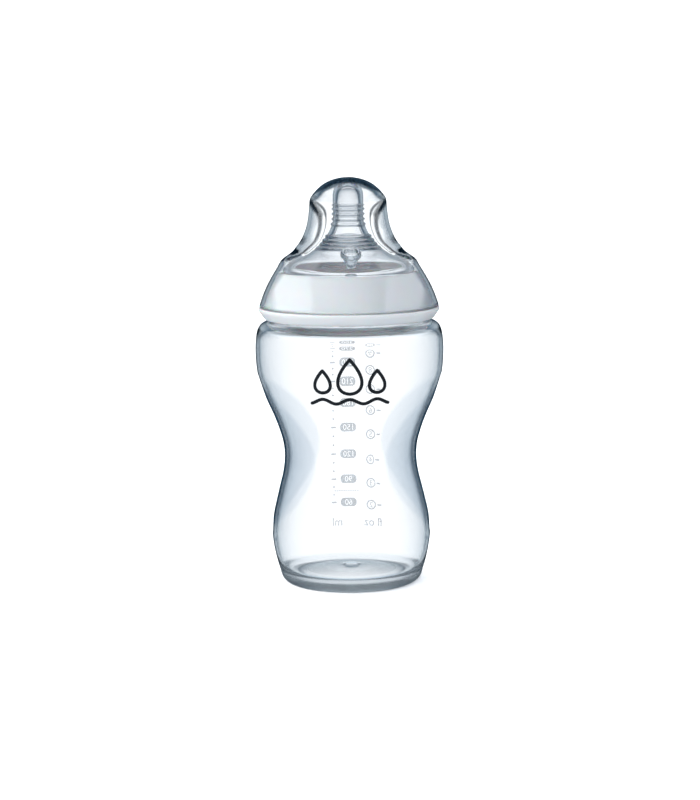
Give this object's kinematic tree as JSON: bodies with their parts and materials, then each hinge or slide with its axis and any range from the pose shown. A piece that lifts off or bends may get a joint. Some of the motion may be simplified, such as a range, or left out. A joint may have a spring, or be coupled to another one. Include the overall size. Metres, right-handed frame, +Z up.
{
  "type": "baby bottle",
  "caption": "Clear wide-neck feeding bottle with side grips, a screw ring, a ribbed silicone teat with a vent valve, and a clear snap-over hood.",
  "frame": {"origin": "centre of the foot ring's resting plane", "axes": "+Z up along the bottle's axis; the two grips and the hood's finger scoops face +X and -X; the plain front is at -Y and the printed scale at +Y"},
  "size_m": [0.076, 0.076, 0.164],
  "materials": {
    "body_plastic": "clear blow-moulded polypropylene, smooth and glossy",
    "teat_silicone": "clear moulded silicone, satin",
    "ring_plastic": "milky translucent injection-moulded polypropylene, soft satin",
    "hood_plastic": "crystal-clear injection-moulded plastic, polished"
  },
  "bodies": {
    "bottle": {"bottle_body": "body_plastic"},
    "teat_body": {"teat": "teat_silicone"},
    "ring": {"screw_ring": "ring_plastic"},
    "lid": {"hood": "hood_plastic"}
  },
  "joints": [
    {"name": "ring_lift", "type": "slide", "parent": "bottle", "child": "teat_body", "axis": [0, 0, 1], "range_m": [0, 0.0136]},
    {"name": "ring_turn", "type": "hinge", "parent": "teat_body", "child": "ring", "pos_m": [0, 0, 0.1164], "axis": [0, 0, 1], "range_deg": [0, 810]},
    {"name": "hood_lift", "type": "slide", "parent": "ring", "child": "lid", "axis": [0, 0, 1], "range_m": [0, 0.055]}
  ],
  "couplings": [
    {"joint": "ring_lift", "follows": "ring_turn", "m_per_rad": 0.00095493}
  ]
}
